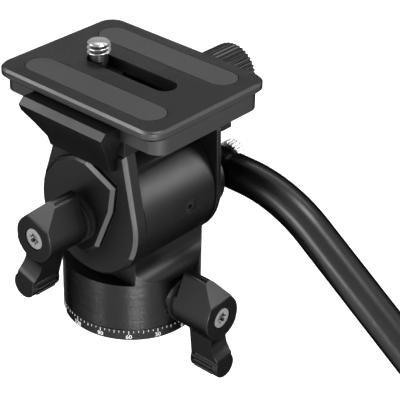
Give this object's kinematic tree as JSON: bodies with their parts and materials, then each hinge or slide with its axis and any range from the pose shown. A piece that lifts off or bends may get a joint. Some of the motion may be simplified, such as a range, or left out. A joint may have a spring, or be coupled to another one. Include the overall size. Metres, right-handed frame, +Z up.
{
  "type": "fluid video head",
  "caption": "Compact pan and tilt head with a dovetail quick release plate, wing lock knobs, a knurled clamp knob and a bent pan handle.",
  "frame": {"origin": "centre of the tripod socket's mouth, in the flat underside of the base", "axes": "+Z up the pan axis, +Y where the lens looks (front), +X the operator's right, where the handle is"},
  "size_m": [0.0778, 0.2279, 0.1621],
  "materials": {
    "black_anodised": "fine blasted black anodising",
    "black_plate": "fine blasted black anodising",
    "black_knob": "satin black",
    "black_tube": "satin black anodising",
    "bright_steel": "bright machined",
    "bearing_bronze": "plain",
    "nylon": "natural nylon",
    "black_plastic": "moulded",
    "pad_rubber": "fine grained",
    "grip_rubber": "matt moulded rubber"
  },
  "bodies": {
    "base": {"base_plate": "black_anodised", "tripod_socket": "bright_steel", "pan_spindle": "bright_steel", "spindle_screws": "bright_steel", "dust_seal": "black_plastic", "pan_center_bolt": "bright_steel"},
    "panner": {"main_housing": "black_anodised", "pan_friction_disc": "nylon", "pan_thrust_washer": "bearing_bronze", "pan_wave_washer": "bright_steel", "pan_brake_shoe": "bearing_bronze", "tilt_cartridge": "bright_steel", "tilt_bearings": "bearing_bronze", "tilt_end_caps": "black_plastic", "tilt_friction_washers": "nylon", "tilt_set_screw": "bright_steel", "pan_knob_washer": "black_plastic"},
    "pan_knob": {"pan_lock_knob": "black_knob", "pan_lock_stud": "bright_steel", "pan_knob_screw": "bright_steel"},
    "tilter": {"left_arm": "black_anodised", "right_arm": "black_anodised", "tilt_axle": "bright_steel", "tilt_rotor": "bearing_bronze", "clamp_bed": "black_anodised", "arm_screws": "bright_steel", "jaw_guide_pins": "bright_steel", "jaw_springs": "bright_steel", "tilt_knob_collar": "black_plastic", "handle_mount": "black_anodised", "handle_mount_screws": "bright_steel"},
    "tilt_knob": {"tilt_lock_knob": "black_knob", "tilt_lock_stud": "bright_steel", "tilt_knob_screw": "bright_steel"},
    "jaw": {"moving_jaw": "black_anodised", "clamp_knob_washer": "bright_steel"},
    "clamp_wheel": {"clamp_knob": "black_knob", "clamp_screw": "bright_steel"},
    "plate": {"release_plate": "black_plate", "grip_pads": "pad_rubber"},
    "screw_slider": {"screw_washer": "nylon"},
    "camera_bolt": {"camera_screw": "bright_steel"},
    "handle": {"handle_socket": "black_tube", "handle_tube": "black_tube", "handle_grip": "grip_rubber", "handle_end_cap": "grip_rubber"},
    "handle_lock": {"handle_bolt": "bright_steel"}
  },
  "joints": [
    {"name": "pan", "type": "hinge", "parent": "base", "child": "panner", "pos_m": [0, 0, 0.01], "axis": [0, 0, 1], "continuous": true},
    {"name": "tilt", "type": "hinge", "parent": "panner", "child": "tilter", "pos_m": [0, 0, 0.0371], "axis": [1, 0, 0], "range_deg": [-90, 65]},
    {"name": "pan_lock", "type": "hinge", "parent": "panner", "child": "pan_knob", "pos_m": [0, -0.025, 0.0102], "axis": [0, -1, 0], "range_deg": [0, 70]},
    {"name": "tilt_lock", "type": "hinge", "parent": "tilter", "child": "tilt_knob", "pos_m": [-0.028, 0, 0.0371], "axis": [-1, 0, 0], "range_deg": [0, 90]},
    {"name": "jaw_slide", "type": "slide", "parent": "tilter", "child": "jaw", "axis": [1, 0, 0], "range_m": [0, 0.0021]},
    {"name": "clamp_knob_turn", "type": "hinge", "parent": "jaw", "child": "clamp_wheel", "pos_m": [0.03, 0, 0.0582], "axis": [1, 0, 0], "range_deg": [0, 1080]},
    {"name": "plate_slide", "type": "slide", "parent": "tilter", "child": "plate", "axis": [0, 1, 0], "range_m": [-0.012, 0.012]},
    {"name": "camera_screw_slide", "type": "slide", "parent": "plate", "child": "screw_slider", "axis": [0, 1, 0], "range_m": [-0.0235, 0]},
    {"name": "camera_screw_turn", "type": "hinge", "parent": "screw_slider", "child": "camera_bolt", "pos_m": [0, 0.01175, 0.07], "axis": [0, 0, 1], "continuous": true},
    {"name": "handle_swing", "type": "hinge", "parent": "tilter", "child": "handle", "pos_m": [0.0262, -0.007, 0.0371], "axis": [1, 0, 0], "range_deg": [-35, 50]},
    {"name": "handle_bolt_turn", "type": "hinge", "parent": "tilter", "child": "handle_lock", "pos_m": [0.033, -0.007, 0.0371], "axis": [1, 0, 0], "range_deg": [0, 720]}
  ],
  "couplings": [
    {"joint": "clamp_knob_turn", "follows": "jaw_slide", "rad_per_m": 8976}
  ]
}
